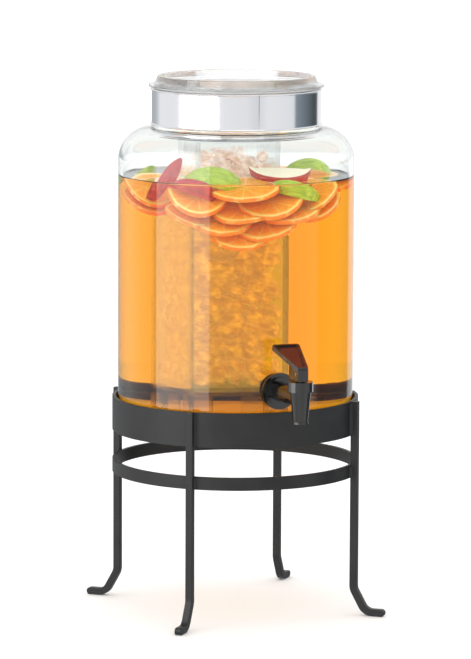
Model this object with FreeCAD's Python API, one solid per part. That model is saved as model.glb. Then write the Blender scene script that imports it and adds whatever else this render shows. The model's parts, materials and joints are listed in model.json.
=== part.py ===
import FreeCAD, Part
import math
import os

# Beverage dispenser: a glass jar with a lift-off lid, an ice chamber and a tap, on a four-legged
# steel stand. Millimetres, +Z up. The origin is on the table, on the axis of the jar and stand,
# and the tap points along -Y. Angles round the axis are counted from -Y, positive towards +X.

V = FreeCAD.Vector

# ---- stand: two rolled flat bands, a ledge and four bent square bars ----
STAND_H = 177.0            # height of the ledge that carries the jar
BAND_GAP = 2.0             # clearance between the jar and the upper band
BAND_T = 3.0               # thickness of the flat bar both bands are rolled from
BAND_BELOW_JAR = 15.5      # upper band below the jar's base
UPPER_BAND_H = 30.5
BAND_SPACE = 26.3          # open height between the two bands
LOWER_BAND_H = 11.4
LEDGE_T = 3.0              # flat ring welded inside the upper band, under the jar
LEDGE_W = 16.0
LEG_BAR = 6.4              # side of the square bar
LEG_TOP_OVER_BAND = 0.3
LEG_TURN = 49.3            # angle of the first leg round the axis
LEG_COUNT = 4
LEG_BEND_Z = 27.0          # height at which the bar leaves the vertical
LEG_SPLAY = 29.0           # slope of the bar below that height, from the vertical
LEG_BEND_R = 12.0
FOOT_BEND_R = 11.0
FOOT_FLAT = 8.2            # straight part of the foot on the table
BAR_EDGE_R = 0.6           # rounded edges of the bar
BEAD_LEG = 2.2             # size of the weld fillets beside each bar
BEAD_END_GAP = 1.0         # weld stops short of the band's edges

# ---- glass jar ----
JAR_R = 105.0
JAR_WALL = 4.0
JAR_BASE_T = 8.0           # thickness of the glass floor
JAR_FOOT_R = 6.0           # outside corner round the base
JAR_HEEL_R = 8.0           # inside corner round the base
FOOT_RING_W = 15.0         # flat ring the jar stands on, round a shallow hollow
PUNT_DEPTH = 2.0
JAR_SIDE_H = 226.0         # straight side, from the underside of the base
SHOULDER_R = 29.5
NECK_STEP = 30.7           # how far the neck stands in from the side
NECK_WALL = 4.0
NECK_H = 32.5              # straight part of the neck
NECK_FILLET_R = 2.0
NECK_INNER_FILLET_R = 5.0
LIP_R = 1.4                # rounded lip of the neck
TAP_HOLE_GAP = 0.5         # clearance of the tap's shank in the glass

# ---- collar, a thin bright band closed by a narrow butt seam ----
COLLAR_GAP = 0.05          # radial clearance on the neck
COLLAR_T = 0.9
COLLAR_SHORT = 0.3         # collar shorter than the straight neck
COLLAR_BEAD_R = 0.9        # rolled edges, top and bottom
COLLAR_SEAM = 0.5          # width of the seam
COLLAR_SEAM_TURN = -5.3

# ---- lid and its flat seal ----
SEAL_T = 1.0
SEAL_IN = 0.6              # how far the seal stands inside the outside of the neck
LID_OVER = 3.7             # flange beyond the outside of the neck
LID_T = 2.5
LID_FLANGE_W = 5.0         # flat flange outside the raised ring
LID_RIM_SLOPE_W = 3.2      # width of the raised ring's outer slope
LID_RIM_TOP_W = 3.8
LID_RIM_IN_SLOPE_W = 3.0
LID_RIM_H = 7.5            # raised ring above the flange
LID_ROUND = 0.9            # rounded edges of flange and ring
LID_SKIRT_GAP = 0.9        # radial clearance of the skirt in the neck
LID_SKIRT_T = 2.2
LID_SKIRT_H = 6.5

# ---- ice chamber: five glued panels, standing in the jar on four corner feet ----
CHAMBER_SIDE = 75.0
CHAMBER_T = 4.0
CHAMBER_TOP_GAP = 2.5      # below the lid's skirt
CHAMBER_TURN = -6.8
CHAMBER_X = -6.2
CHAMBER_Y = 2.3
CHAMBER_FOOT_W = 18.0
CHAMBER_FOOT_H = 14.0      # height of the notches between the feet
CHAMBER_FLOOR_LAP = 3.0    # underside of the chamber's floor above the notches

# ---- tap ----
TAP_UP = 26.0              # centre line of the shank above the jar's floor
TAP_REACH = 55.0           # tap's vertical axis ahead of the glass
SHANK_R = 7.5              # threaded shank through the glass
SHANK_IN = 13.0            # length of shank inside the jar's inner surface
SHANK_BORE_R = 4.5
GASKET_IN = 1.5            # gaskets smaller than the flange all round
GASKET_T = 3.5             # thickness beside the glass, in line with the shank
GASKET_GAP = 0.1           # clearance round the shank
INNER_GASKET_T = 3.0
NUT_ACROSS = 24.0
NUT_T = 7.0
NUT_GAP = 0.05
FLANGE_R = 16.0
FLANGE_T = 2.5
STEP_R = 12.4
STEP_T = 2.5
HUB_R = 8.8
HUB_END_R = 6.9
BODY_OVER_HUB = 0.1        # top of the body above the end of the hub
BODY_SHOULDER = 0.65       # body wider than the boss above it
OUTLET_DROP = 21.0         # outlet below the centre line
OUTLET_WALL = 1.6
OUTLET_BORE_R = 4.8
OUTLET_LIP = 0.6
OUTLET_LIP_H = 1.8
SEAT_UNDER_BORE = 0.5      # valve seat below the shank's bore
VALVE_ROOM_GAP = 1.1       # flow space round the seat cup
BOSS_WALL = 1.8            # threaded boss under the bonnet
BOSS_H = 5.4
BONNET_WALL = 2.3
BONNET_H = 8.6
BONNET_SIDES = 16
BONNET_ROOF = 2.0
THREAD_GAP = 0.1
STEM_R = 1.4
STEM_GAP = 0.2             # clearance of the stem in the bonnet
STEM_TOP_OVER_PIN = 3.0
STEM_IN_CUP = 4.5
CUP_R = 5.7
CUP_H = 7.5
SPRING_WIRE_R = 0.5
SPRING_CLEAR = 2.3         # inside of the spring clear of the stem
SPRING_TURNS = 4
SPRING_END_GAP = 0.1

# ---- lever ----
HEEL_GAP = 0.4             # lever above the bonnet
PIN_UP = 6.0               # pin above the heel of the lever
PIN_R = 1.25
PIN_GAP = 0.06
LEVER_W = 9.4
LEVER_FRONT = 6.0          # front of the block ahead of the stem
LEVER_BACK = 16.0          # back of the block behind the stem
LEVER_FRONT_TOP = 12.4     # top of the front edge above the heel
PADDLE_SLOPE = 18.6
PADDLE_LENGTH = 46.0
PADDLE_W = 25.0
PADDLE_T = 4.0
PADDLE_BORDER = 2.4
PADDLE_PANEL_DEPTH = 1.2
PADDLE_CORNER_R = 3.0
LEVER_SLOT_GAP = 0.3       # beside the stem
LEVER_FRONT_WALL = 0.8     # wall left ahead of the stem's slot
LEVER_SLOT_BACK = 3.6
LEVER_SLOT_TOP = 1.5       # above the top of the stem

# Sizes that follow from the ones above.
JAR_BOTTOM_Z = STAND_H
BAND_IN_R = JAR_R + BAND_GAP
BAND_R = BAND_IN_R + BAND_T
UPPER_BAND_Z = STAND_H - BAND_BELOW_JAR
LOWER_BAND_Z = UPPER_BAND_Z - BAND_SPACE - LOWER_BAND_H
LEG_R = BAND_R + LEG_BAR / 2
JAR_IN_R = JAR_R - JAR_WALL
JAR_FLOOR_Z = JAR_BOTTOM_Z + JAR_BASE_T
SHOULDER_Z = JAR_BOTTOM_Z + JAR_SIDE_H
PUNT_R = JAR_R - JAR_FOOT_R - FOOT_RING_W
NECK_R = JAR_R - NECK_STEP
NECK_IN_R = NECK_R - NECK_WALL
SHOULDER_X = JAR_R - SHOULDER_R

# The neck's fillets are tangent to the shoulder's circles and to the neck.
OUT_C = NECK_R + NECK_FILLET_R
OUT_REACH = SHOULDER_R + NECK_FILLET_R
OUT_CZ = SHOULDER_Z + math.sqrt(OUT_REACH ** 2 - (OUT_C - SHOULDER_X) ** 2)
OUT_A = math.degrees(math.atan2(OUT_CZ - SHOULDER_Z, OUT_C - SHOULDER_X))
IN_R = SHOULDER_R - JAR_WALL
IN_C = NECK_IN_R + NECK_INNER_FILLET_R
IN_REACH = IN_R + NECK_INNER_FILLET_R
IN_CZ = SHOULDER_Z + math.sqrt(IN_REACH ** 2 - (IN_C - SHOULDER_X) ** 2)
IN_A = math.degrees(math.atan2(IN_CZ - SHOULDER_Z, IN_C - SHOULDER_X))
NECK_TOP_Z = OUT_CZ + NECK_H

COLLAR_H = NECK_H - COLLAR_SHORT
LID_Z = NECK_TOP_Z + SEAL_T
LID_R = NECK_R + LID_OVER
LID_RIM_OUT_R = LID_R - LID_FLANGE_W
LID_RIM_TOP_OUT_R = LID_RIM_OUT_R - LID_RIM_SLOPE_W
LID_RIM_TOP_IN_R = LID_RIM_TOP_OUT_R - LID_RIM_TOP_W
LID_RIM_IN_R = LID_RIM_TOP_IN_R - LID_RIM_IN_SLOPE_W
LID_RIM_TOP_Z = LID_Z + LID_T + LID_RIM_H
CHAMBER_H = LID_Z - LID_SKIRT_H - CHAMBER_TOP_GAP - JAR_FLOOR_Z
CHAMBER_FLOOR_UP = CHAMBER_FOOT_H + CHAMBER_FLOOR_LAP

TAP_Z = JAR_FLOOR_Z + TAP_UP
TAP_BODY_Y = JAR_R + TAP_REACH
TAP_HOLE_R = SHANK_R + TAP_HOLE_GAP
GASKET_R = FLANGE_R - GASKET_IN
SHANK_START_Y = JAR_R + GASKET_T
STEP_START_Y = SHANK_START_Y + FLANGE_T
HUB_START_Y = STEP_START_Y + STEP_T
OUTLET_Z = TAP_Z - OUTLET_DROP
OUTLET_R = OUTLET_BORE_R + OUTLET_WALL
OUTLET_LIP_R = OUTLET_R + OUTLET_LIP
SEAT_Z = TAP_Z - SHANK_BORE_R - SEAT_UNDER_BORE
VALVE_ROOM_R = CUP_R + VALVE_ROOM_GAP
BOSS_R = VALVE_ROOM_R + BOSS_WALL
BODY_TOP_Z = TAP_Z + HUB_END_R + BODY_OVER_HUB
BODY_TOP_R = BOSS_R + BODY_SHOULDER
BONNET_R = BOSS_R + THREAD_GAP + BONNET_WALL
HUB_END_Y = TAP_BODY_Y - BONNET_R
BONNET_TOP_Z = BODY_TOP_Z + BONNET_H
SPRING_R = STEM_R + SPRING_CLEAR + SPRING_WIRE_R
LEVER_SLOT_FRONT = LEVER_FRONT - LEVER_FRONT_WALL
HEEL_Z = BONNET_TOP_Z + HEEL_GAP
PIN_Z = HEEL_Z + PIN_UP

os.makedirs("parts", exist_ok=True)


def save(shape, node):
    """Write one node as a STEP file."""
    shape.exportStep("parts/" + node + ".step")


def seg(a, b):
    """Straight edge between two (radius, height) points."""
    return Part.LineSegment(V(a[0], 0, a[1]), V(b[0], 0, b[1])).toShape()


def arc(cx, cz, r, start, end):
    """Circular edge in the (radius, height) plane, with its angles in degrees."""
    pts = []
    for t in (start, (start + end) / 2, end):
        pts.append(V(cx + r * math.cos(math.radians(t)), 0, cz + r * math.sin(math.radians(t))))
    return Part.Arc(pts[0], pts[1], pts[2]).toShape()


def turned(edges):
    """Solid turned about the Z axis from a closed outline."""
    face = Part.Face(Part.Wire(Part.sortEdges(edges)[0]))
    return face.revolve(V(0, 0, 0), V(0, 0, 1), 360)


def outline(points):
    """Straight edges round a list of (radius, height) points."""
    return [seg(points[i], points[(i + 1) % len(points)]) for i in range(len(points))]


def ring(outer, inner, z, height):
    """Plain ring about the Z axis."""
    return Part.makeCylinder(outer, height, V(0, 0, z)).cut(Part.makeCylinder(inner, height, V(0, 0, z)))


def along_y(radius, near, far, z=TAP_Z, end_radius=None):
    """Round bar or cone on the tap's centre line, between two distances ahead of the jar's axis."""
    start = V(0, -near, z)
    if end_radius is None:
        return Part.makeCylinder(radius, far - near, start, V(0, -1, 0))
    return Part.makeCone(radius, end_radius, far - near, start, V(0, -1, 0))


def upright(radius, z, top):
    """Round bar on the tap's vertical axis."""
    return Part.makeCylinder(radius, top - z, V(0, -TAP_BODY_Y, z))


# ---------------------------------------------------------------- stand
upper_band = ring(BAND_R, BAND_IN_R, UPPER_BAND_Z, UPPER_BAND_H)
lower_band = ring(BAND_R, BAND_IN_R, LOWER_BAND_Z, LOWER_BAND_H)
jar_ledge = ring(BAND_IN_R, BAND_IN_R - LEDGE_W, STAND_H - LEDGE_T, LEDGE_T)
save(upper_band, "upper_band")
save(lower_band, "lower_band")
save(jar_ledge, "jar_ledge")

# A leg's outline, drawn in the plane of its bends: down, out at the splay, then flat to the toe.
half = LEG_BAR / 2
splay = math.radians(LEG_SPLAY)
top_z = UPPER_BAND_Z + UPPER_BAND_H + LEG_TOP_OVER_BAND
knee = (LEG_R + LEG_BEND_R, LEG_BEND_Z)
slope_drop = LEG_BEND_Z - LEG_BEND_R * math.sin(splay) - FOOT_BEND_R * (1 - math.sin(splay)) - half
slope_run = slope_drop / math.cos(splay)
knee_end = (LEG_R + LEG_BEND_R * (1 - math.cos(splay)), LEG_BEND_Z - LEG_BEND_R * math.sin(splay))
heel_start = (knee_end[0] + slope_run * math.sin(splay), knee_end[1] - slope_run * math.cos(splay))
heel = (heel_start[0] + FOOT_BEND_R * math.cos(splay), heel_start[1] + FOOT_BEND_R * math.sin(splay))
toe_x = heel[0] + FOOT_FLAT


def off(point, side):
    """Point moved across the sloping part of the bar."""
    return (point[0] + side * math.cos(splay), point[1] + side * math.sin(splay))


leg_edges = [
    seg((LEG_R - half, top_z), (LEG_R - half, LEG_BEND_Z)),
    arc(knee[0], knee[1], LEG_BEND_R + half, 180, 180 + LEG_SPLAY),
    seg(off(knee_end, -half), off(heel_start, -half)),
    arc(heel[0], heel[1], FOOT_BEND_R + half, 180 + LEG_SPLAY, 270),
    seg((heel[0], 0), (toe_x, 0)),
    arc(toe_x, half, half, -90, 90),
    seg((toe_x, LEG_BAR), (heel[0], LEG_BAR)),
    arc(heel[0], heel[1], FOOT_BEND_R - half, 270, 180 + LEG_SPLAY),
    seg(off(heel_start, half), off(knee_end, half)),
    arc(knee[0], knee[1], LEG_BEND_R - half, 180 + LEG_SPLAY, 180),
    seg((LEG_R + half, LEG_BEND_Z), (LEG_R + half, top_z)),
    seg((LEG_R + half, top_z), (LEG_R - half, top_z)),
]
leg_face = Part.Face(Part.Wire(Part.sortEdges(leg_edges)[0]))
leg_face.translate(V(0, -half, 0))
leg_bar = leg_face.extrude(V(0, LEG_BAR, 0))
rims = []
for edge in leg_bar.Edges:
    on_side = all(abs(abs(v.Point.y) - half) < 1e-6 for v in edge.Vertexes)
    same_side = abs(edge.Vertexes[0].Point.y - edge.Vertexes[-1].Point.y) < 1e-6
    if on_side and same_side:
        rims.append(edge)
leg_bar = leg_bar.makeFillet(BAR_EDGE_R, rims)

leg_names = ["leg_front_right", "leg_back_right", "leg_back_left", "leg_front_left"]
beads = []
for i in range(LEG_COUNT):
    turn = LEG_TURN + i * 360.0 / LEG_COUNT - 90.0
    leg = leg_bar.copy()
    leg.rotate(V(0, 0, 0), V(0, 0, 1), turn)
    save(leg, leg_names[i])
    for z, height in ((UPPER_BAND_Z, UPPER_BAND_H), (LOWER_BAND_Z, LOWER_BAND_H)):
        for side in (-1, 1):
            corner = V(BAND_R - BAR_EDGE_R, side * half, z + BEAD_END_GAP)
            outer = V(BAND_R + BEAD_LEG, side * half, z + BEAD_END_GAP)
            along = V(BAND_R - BAR_EDGE_R, side * (half + BEAD_LEG), z + BEAD_END_GAP)
            face = Part.Face(Part.makePolygon([corner, outer, along, corner]))
            bead = face.extrude(V(0, 0, height - 2 * BEAD_END_GAP))
            bead = bead.cut(Part.makeCylinder(BAND_R, height, V(0, 0, z)))
            bead.rotate(V(0, 0, 0), V(0, 0, 1), turn)
            beads.extend(bead.Solids)
save(Part.makeCompound(beads), "weld_beads")

# ---------------------------------------------------------------- jar
jar_edges = [
    seg((0, JAR_BOTTOM_Z + PUNT_DEPTH), (PUNT_R - PUNT_DEPTH, JAR_BOTTOM_Z + PUNT_DEPTH)),
    seg((PUNT_R - PUNT_DEPTH, JAR_BOTTOM_Z + PUNT_DEPTH), (PUNT_R, JAR_BOTTOM_Z)),
    seg((PUNT_R, JAR_BOTTOM_Z), (JAR_R - JAR_FOOT_R, JAR_BOTTOM_Z)),
    arc(JAR_R - JAR_FOOT_R, JAR_BOTTOM_Z + JAR_FOOT_R, JAR_FOOT_R, -90, 0),
    seg((JAR_R, JAR_BOTTOM_Z + JAR_FOOT_R), (JAR_R, SHOULDER_Z)),
    arc(SHOULDER_X, SHOULDER_Z, SHOULDER_R, 0, OUT_A),
    arc(OUT_C, OUT_CZ, NECK_FILLET_R, OUT_A + 180, 180),
    seg((NECK_R, OUT_CZ), (NECK_R, NECK_TOP_Z - LIP_R)),
    arc(NECK_R - LIP_R, NECK_TOP_Z - LIP_R, LIP_R, 0, 90),
    seg((NECK_R - LIP_R, NECK_TOP_Z), (NECK_IN_R + LIP_R, NECK_TOP_Z)),
    arc(NECK_IN_R + LIP_R, NECK_TOP_Z - LIP_R, LIP_R, 90, 180),
    seg((NECK_IN_R, NECK_TOP_Z - LIP_R), (NECK_IN_R, IN_CZ)),
    arc(IN_C, IN_CZ, NECK_INNER_FILLET_R, 180, IN_A + 180),
    arc(SHOULDER_X, SHOULDER_Z, IN_R, IN_A, 0),
    seg((JAR_IN_R, SHOULDER_Z), (JAR_IN_R, JAR_FLOOR_Z + JAR_HEEL_R)),
    arc(JAR_IN_R - JAR_HEEL_R, JAR_FLOOR_Z + JAR_HEEL_R, JAR_HEEL_R, 0, -90),
    seg((JAR_IN_R - JAR_HEEL_R, JAR_FLOOR_Z), (0, JAR_FLOOR_Z)),
    seg((0, JAR_FLOOR_Z), (0, JAR_BOTTOM_Z + PUNT_DEPTH)),
]
glass_jar = turned(jar_edges)
glass_jar = glass_jar.cut(along_y(TAP_HOLE_R, JAR_IN_R - JAR_WALL, JAR_R + JAR_WALL))

# The jar is one piece of glass. It is kept as four plain rings that meet face to face:
# the base with its rounded corners, the straight side, the shoulder and the neck.
jar_levels = [JAR_BOTTOM_Z, JAR_FLOOR_Z + JAR_HEEL_R, SHOULDER_Z, OUT_CZ, NECK_TOP_Z]
jar_rings = ("jar_base", "jar_side", "jar_shoulder", "jar_neck")
for ring_name, low_z, high_z in zip(jar_rings, jar_levels, jar_levels[1:]):
    layer = Part.makeCylinder(JAR_R * 2, high_z - low_z, V(0, 0, low_z))
    save(glass_jar.common(layer), ring_name)

# The collar is a plain band with rolled edges, cut through once at its seam.
collar_in = NECK_R + COLLAR_GAP
collar_z = OUT_CZ + COLLAR_GAP
neck_collar = ring(collar_in + COLLAR_T, collar_in, collar_z, COLLAR_H)
for bead_z in (collar_z + COLLAR_BEAD_R, collar_z + COLLAR_H - COLLAR_BEAD_R):
    neck_collar = neck_collar.fuse(Part.makeTorus(collar_in + COLLAR_T, COLLAR_BEAD_R, V(0, 0, bead_z)))
neck_collar = neck_collar.cut(Part.makeCylinder(collar_in, COLLAR_H * 2, V(0, 0, collar_z - COLLAR_H / 2)))
seam = Part.makeBox(COLLAR_SEAM, COLLAR_T * 12, COLLAR_H * 2)
seam.translate(V(-COLLAR_SEAM / 2, -collar_in - COLLAR_T * 9, collar_z - COLLAR_H / 2))
seam.rotate(V(0, 0, 0), V(0, 0, 1), COLLAR_SEAM_TURN)
save(neck_collar.cut(seam), "neck_collar")

# ---------------------------------------------------------------- lid
lid_seal = ring(NECK_R - SEAL_IN, NECK_IN_R + SEAL_IN, NECK_TOP_Z, SEAL_T)
save(lid_seal, "lid_seal")

flange_top = LID_Z + LID_T
skirt_r = NECK_IN_R - LID_SKIRT_GAP
lid_profile = [
    (0, LID_Z), (skirt_r - LID_SKIRT_T, LID_Z), (skirt_r - LID_SKIRT_T, LID_Z - LID_SKIRT_H),
    (skirt_r, LID_Z - LID_SKIRT_H), (skirt_r, LID_Z), (LID_R, LID_Z), (LID_R, flange_top),
    (LID_RIM_OUT_R, flange_top), (LID_RIM_TOP_OUT_R, LID_RIM_TOP_Z), (LID_RIM_TOP_IN_R, LID_RIM_TOP_Z),
    (LID_RIM_IN_R, flange_top), (0, flange_top),
]
lid = turned(outline(lid_profile))
lid_rounds = []
for edge in lid.Edges:
    if edge.Curve.TypeId == "Part::GeomCircle":
        at_top = abs(edge.Curve.Center.z - LID_RIM_TOP_Z) < 1e-6
        at_flange = abs(edge.Curve.Radius - LID_R) < 1e-6
        if at_top or at_flange:
            lid_rounds.append(edge)
lid = lid.makeFillet(LID_ROUND, lid_rounds)
save(lid, "lid")

# ---------------------------------------------------------------- ice chamber
inner_side = CHAMBER_SIDE - 2 * CHAMBER_T


def panel(width, across, foot):
    """Upright panel centred on the Y axis of the chamber, with a notch between its two feet."""
    sheet = Part.makeBox(width, CHAMBER_T, CHAMBER_H, V(-width / 2, across, 0))
    notch = Part.makeBox(width - 2 * foot, CHAMBER_T, CHAMBER_FOOT_H, V(foot - width / 2, across, 0))
    return sheet.cut(notch)


def place(shape, turn):
    """Turn a panel into its side of the chamber and stand the chamber in the jar."""
    shape.rotate(V(0, 0, 0), V(0, 0, 1), turn + CHAMBER_TURN)
    shape.translate(V(CHAMBER_X, CHAMBER_Y, JAR_FLOOR_Z))
    return shape


front_across = -CHAMBER_SIDE / 2
save(place(panel(CHAMBER_SIDE, front_across, CHAMBER_FOOT_W), 0), "chamber_wall_front")
save(place(panel(CHAMBER_SIDE, front_across, CHAMBER_FOOT_W), 180), "chamber_wall_back")
save(place(panel(inner_side, front_across, CHAMBER_FOOT_W - CHAMBER_T), 90), "chamber_wall_right")
save(place(panel(inner_side, front_across, CHAMBER_FOOT_W - CHAMBER_T), 270), "chamber_wall_left")
chamber_floor = Part.makeBox(inner_side, inner_side, CHAMBER_T, V(-inner_side / 2, -inner_side / 2, CHAMBER_FLOOR_UP))
save(place(chamber_floor, 0), "chamber_floor")

# ---------------------------------------------------------------- tap
# Outer gasket, moulded to the round glass on one side.
outer_gasket = along_y(GASKET_R, JAR_IN_R, SHANK_START_Y)
outer_gasket = outer_gasket.cut(Part.makeCylinder(JAR_R, NECK_TOP_Z))
outer_gasket = outer_gasket.cut(along_y(SHANK_R + GASKET_GAP, JAR_IN_R, SHANK_START_Y))
save(outer_gasket, "outer_gasket")

inner_face = JAR_IN_R - INNER_GASKET_T
inner_gasket = along_y(GASKET_R, inner_face, JAR_R).common(Part.makeCylinder(JAR_IN_R, NECK_TOP_Z))
inner_gasket = inner_gasket.cut(along_y(SHANK_R + GASKET_GAP, inner_face, JAR_R))
save(inner_gasket, "inner_gasket")

corners = []
for i in range(7):
    a = math.radians(60 * i + 30)
    corners.append(V(NUT_ACROSS / 2 / math.cos(math.radians(30)) * math.cos(a), -inner_face,
                     TAP_Z + NUT_ACROSS / 2 / math.cos(math.radians(30)) * math.sin(a)))
lock_nut = Part.Face(Part.makePolygon(corners)).extrude(V(0, NUT_T, 0))
lock_nut = lock_nut.cut(along_y(SHANK_R + NUT_GAP, inner_face - NUT_T, inner_face))
save(lock_nut, "lock_nut")

# Body: shank, flange and stepped hub on the centre line, then the tapered outlet.
tap_body = along_y(SHANK_R, JAR_IN_R - SHANK_IN, SHANK_START_Y)
tap_body = tap_body.fuse(along_y(FLANGE_R, SHANK_START_Y, STEP_START_Y))
tap_body = tap_body.fuse(along_y(STEP_R, STEP_START_Y, HUB_START_Y))
tap_body = tap_body.fuse(along_y(HUB_R, HUB_START_Y, HUB_END_Y, end_radius=HUB_END_R))
tap_body = tap_body.fuse(along_y(HUB_END_R, HUB_END_Y, TAP_BODY_Y))
taper = Part.makeCone(OUTLET_R, BODY_TOP_R, BODY_TOP_Z - OUTLET_Z, V(0, -TAP_BODY_Y, OUTLET_Z))
tap_body = tap_body.fuse(taper)
tap_body = tap_body.fuse(upright(OUTLET_LIP_R, OUTLET_Z, OUTLET_Z + OUTLET_LIP_H))
tap_body = tap_body.fuse(upright(BOSS_R, BODY_TOP_Z, BODY_TOP_Z + BOSS_H))
tap_body = tap_body.cut(upright(OUTLET_BORE_R, OUTLET_Z, SEAT_Z))
tap_body = tap_body.cut(upright(VALVE_ROOM_R, SEAT_Z, BODY_TOP_Z + BOSS_H))
tap_body = tap_body.cut(along_y(SHANK_BORE_R, JAR_IN_R - SHANK_IN, TAP_BODY_Y))
save(tap_body.removeSplitter(), "tap_body")

bonnet_pts = []
for i in range(BONNET_SIDES + 1):
    a = 2 * math.pi * i / BONNET_SIDES
    bonnet_pts.append(V(BONNET_R * math.cos(a), BONNET_R * math.sin(a) - TAP_BODY_Y, BODY_TOP_Z))
tap_bonnet = Part.Face(Part.makePolygon(bonnet_pts)).extrude(V(0, 0, BONNET_H))
roof_z = BONNET_TOP_Z - BONNET_ROOF
tap_bonnet = tap_bonnet.cut(upright(BOSS_R + THREAD_GAP, BODY_TOP_Z, roof_z))
tap_bonnet = tap_bonnet.cut(upright(STEM_R + STEM_GAP, roof_z, BONNET_TOP_Z))
save(tap_bonnet, "tap_bonnet")

# Valve: a cup on the seat, held on the stem that rises through the bonnet.
cup_top = SEAT_Z + CUP_H
seat_cup = upright(CUP_R, SEAT_Z, cup_top).cut(upright(STEM_R, cup_top - STEM_IN_CUP, cup_top))
save(seat_cup, "seat_cup")
valve_stem = upright(STEM_R, cup_top - STEM_IN_CUP, PIN_Z + STEM_TOP_OVER_PIN)
pin_axis = V(-LEVER_W, -TAP_BODY_Y, PIN_Z)
valve_stem = valve_stem.cut(Part.makeCylinder(STEM_R * 0.5, 2 * LEVER_W, pin_axis, V(1, 0, 0)))
save(valve_stem, "valve_stem")

# Lever pin: reduced in the middle, where it passes through the stem.
pin_half = LEVER_W / 2 - PIN_GAP
lever_pin = Part.makeCylinder(PIN_R, 2 * pin_half, V(-pin_half, -TAP_BODY_Y, PIN_Z), V(1, 0, 0))
slim_half = STEM_R + LEVER_SLOT_GAP
slim = Part.makeCylinder(PIN_R, 2 * slim_half, V(-slim_half, -TAP_BODY_Y, PIN_Z), V(1, 0, 0))
slim = slim.cut(Part.makeCylinder(STEM_R * 0.5, 2 * slim_half, V(-slim_half, -TAP_BODY_Y, PIN_Z), V(1, 0, 0)))
save(lever_pin.cut(slim), "lever_pin")

spring_low = cup_top + SPRING_WIRE_R + SPRING_END_GAP
spring_high = roof_z - SPRING_WIRE_R - SPRING_END_GAP
pitch = (spring_high - spring_low) / SPRING_TURNS
helix = Part.makeHelix(pitch, spring_high - spring_low, SPRING_R)
wire_circle = Part.Wire(Part.makeCircle(SPRING_WIRE_R, V(SPRING_R, 0, 0), V(0, 1, pitch / (2 * math.pi * SPRING_R))))
tap_spring = Part.Wire(helix.Edges).makePipeShell([wire_circle], True, True)
tap_spring.translate(V(0, -TAP_BODY_Y, spring_low))
save(tap_spring, "tap_spring")

# ---------------------------------------------------------------- lever
slope = math.radians(PADDLE_SLOPE)


def paddle_plan(inset, low, thick):
    """Tapered paddle with round far corners, flat before it is tilted, inset all round."""
    near_w = LEVER_W / 2 - inset
    far_w = PADDLE_W / 2 - inset
    far = PADDLE_LENGTH - inset
    r = PADDLE_CORNER_R - inset / 2
    pts = [V(-near_w, inset, low), V(near_w, inset, low), V(far_w, far - r, low), V(far_w - r, far, low),
           V(r - far_w, far, low), V(-far_w, far - r, low)]
    c = r * (1 - math.sqrt(0.5))
    edges = [Part.LineSegment(pts[0], pts[1]).toShape(), Part.LineSegment(pts[1], pts[2]).toShape(),
             Part.Arc(pts[2], V(far_w - c, far - c, low), pts[3]).toShape(),
             Part.LineSegment(pts[3], pts[4]).toShape(),
             Part.Arc(pts[4], V(c - far_w, far - c, low), pts[5]).toShape(),
             Part.LineSegment(pts[5], pts[0]).toShape()]
    return Part.Face(Part.Wire(edges)).extrude(V(0, 0, thick))


paddle = paddle_plan(0, -PADDLE_T, PADDLE_T)
paddle = paddle.cut(paddle_plan(PADDLE_BORDER, -PADDLE_PANEL_DEPTH, 2 * PADDLE_PANEL_DEPTH))
paddle.rotate(V(0, 0, 0), V(1, 0, 0), PADDLE_SLOPE)
paddle.translate(V(0, -TAP_BODY_Y - LEVER_FRONT, HEEL_Z + LEVER_FRONT_TOP))
rise = (LEVER_FRONT + LEVER_BACK) * math.tan(slope)
under = PADDLE_T * 0.5 / math.cos(slope)
block_pts = [V(0, -TAP_BODY_Y - LEVER_FRONT, HEEL_Z), V(0, -TAP_BODY_Y + LEVER_BACK, HEEL_Z),
             V(0, -TAP_BODY_Y + LEVER_BACK, HEEL_Z + LEVER_FRONT_TOP + rise - under),
             V(0, -TAP_BODY_Y - LEVER_FRONT, HEEL_Z + LEVER_FRONT_TOP - under)]
block = Part.Face(Part.makePolygon(block_pts + [block_pts[0]])).extrude(V(LEVER_W, 0, 0))
block.translate(V(-LEVER_W / 2, 0, 0))
lever = block.fuse(paddle)
slot_w = 2 * (STEM_R + LEVER_SLOT_GAP)
slot_h = PIN_UP + STEM_TOP_OVER_PIN + LEVER_SLOT_TOP
slot = Part.makeBox(slot_w, LEVER_SLOT_FRONT + LEVER_SLOT_BACK, slot_h,
                    V(-slot_w / 2, -TAP_BODY_Y - LEVER_SLOT_FRONT, HEEL_Z))
lever = lever.cut(slot)
lever = lever.cut(Part.makeCylinder(PIN_R + PIN_GAP, 2 * LEVER_W, pin_axis, V(1, 0, 0)))
save(lever.removeSplitter(), "lever")
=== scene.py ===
import bpy
import bmesh
import json
import math
import random
from mathutils import Matrix, Vector


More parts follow.
